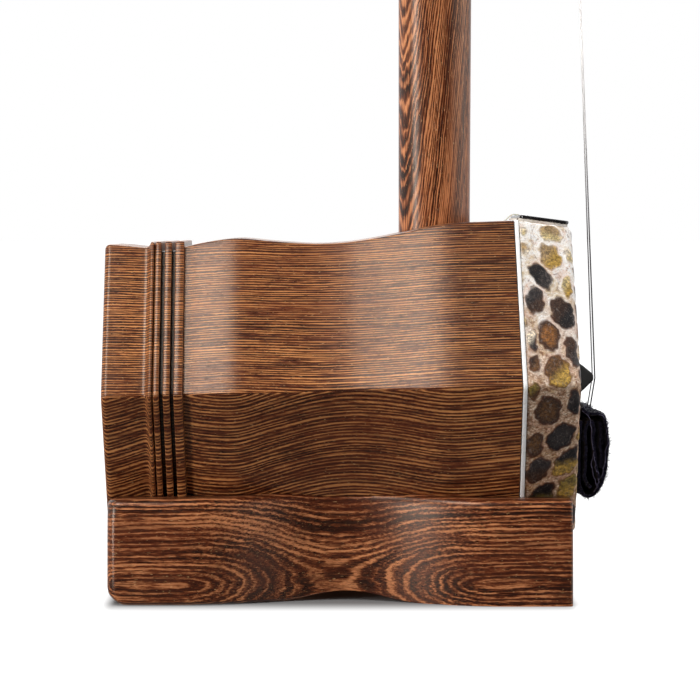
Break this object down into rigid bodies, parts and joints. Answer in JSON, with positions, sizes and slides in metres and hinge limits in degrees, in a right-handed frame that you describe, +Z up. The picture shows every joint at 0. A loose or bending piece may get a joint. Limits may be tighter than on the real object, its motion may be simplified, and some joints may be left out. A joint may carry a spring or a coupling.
{
  "type": "erhu",
  "caption": "Two-stringed bowed fiddle with a hexagonal snakeskin-faced soundbox on a waisted wooden base, a tall neck with a swept-back head, a damper pad and turning friction pegs",
  "frame": {"origin": "where the axis of the neck meets the plane the base stands on", "axes": "+X to the front, out of the snakeskin face; +Z up along the neck; +Y across the instrument"},
  "size_m": [0.176, 0.1044, 0.8146],
  "materials": {
    "box_wood": "striped dark hardwood, satin lacquer",
    "neck_wood": "striped dark hardwood, satin lacquer",
    "base_wood": "striped dark hardwood, satin lacquer",
    "peg_wood": "dark hardwood, satin lacquer",
    "ebony": "near-black hardwood, oiled",
    "snakeskin": "patterned snakeskin, glossy scales",
    "binding_white": "ivory-white plastic strip",
    "bone": "polished bone",
    "plate_black": "black enamel with bright bevelled edges",
    "steel": "plain bright steel",
    "string_steel": "bright steel wire",
    "cloth": "dark navy felted cloth, frayed edges",
    "cord_red": "twisted cotton cord"
  },
  "bodies": {
    "frame": {"soundbox_far_upper_board": "box_wood", "soundbox_top_board": "box_wood", "soundbox_near_upper_board": "box_wood", "soundbox_near_lower_board": "box_wood", "soundbox_bottom_board": "box_wood", "soundbox_far_lower_board": "box_wood", "python_skin": "snakeskin", "skin_edge_binding": "binding_white", "identity_plate": "plate_black", "rear_sound_window": "ebony", "neck": "neck_wood", "head": "neck_wood", "head_inlay": "bone", "base": "base_wood", "base_screw_1": "steel", "base_screw_2": "steel", "bridge": "ebony", "damper_pad": "cloth", "outer_string": "string_steel", "inner_string": "string_steel", "string_hook": "steel", "nut_cord": "cord_red"},
    "lower_tuning_peg": {"lower_peg": "peg_wood", "lower_peg_end_cap": "bone", "lower_peg_string_winding": "string_steel"},
    "upper_tuning_peg": {"upper_peg": "peg_wood", "upper_peg_end_cap": "bone", "upper_peg_string_winding": "string_steel"}
  },
  "joints": [
    {"name": "lower_peg_turn", "type": "hinge", "parent": "frame", "child": "lower_tuning_peg", "pos_m": [0, 0, 0.6], "axis": [1, 0, 0], "continuous": true},
    {"name": "upper_peg_turn", "type": "hinge", "parent": "frame", "child": "upper_tuning_peg", "pos_m": [0, 0, 0.69], "axis": [1, 0, 0], "continuous": true}
  ]
}
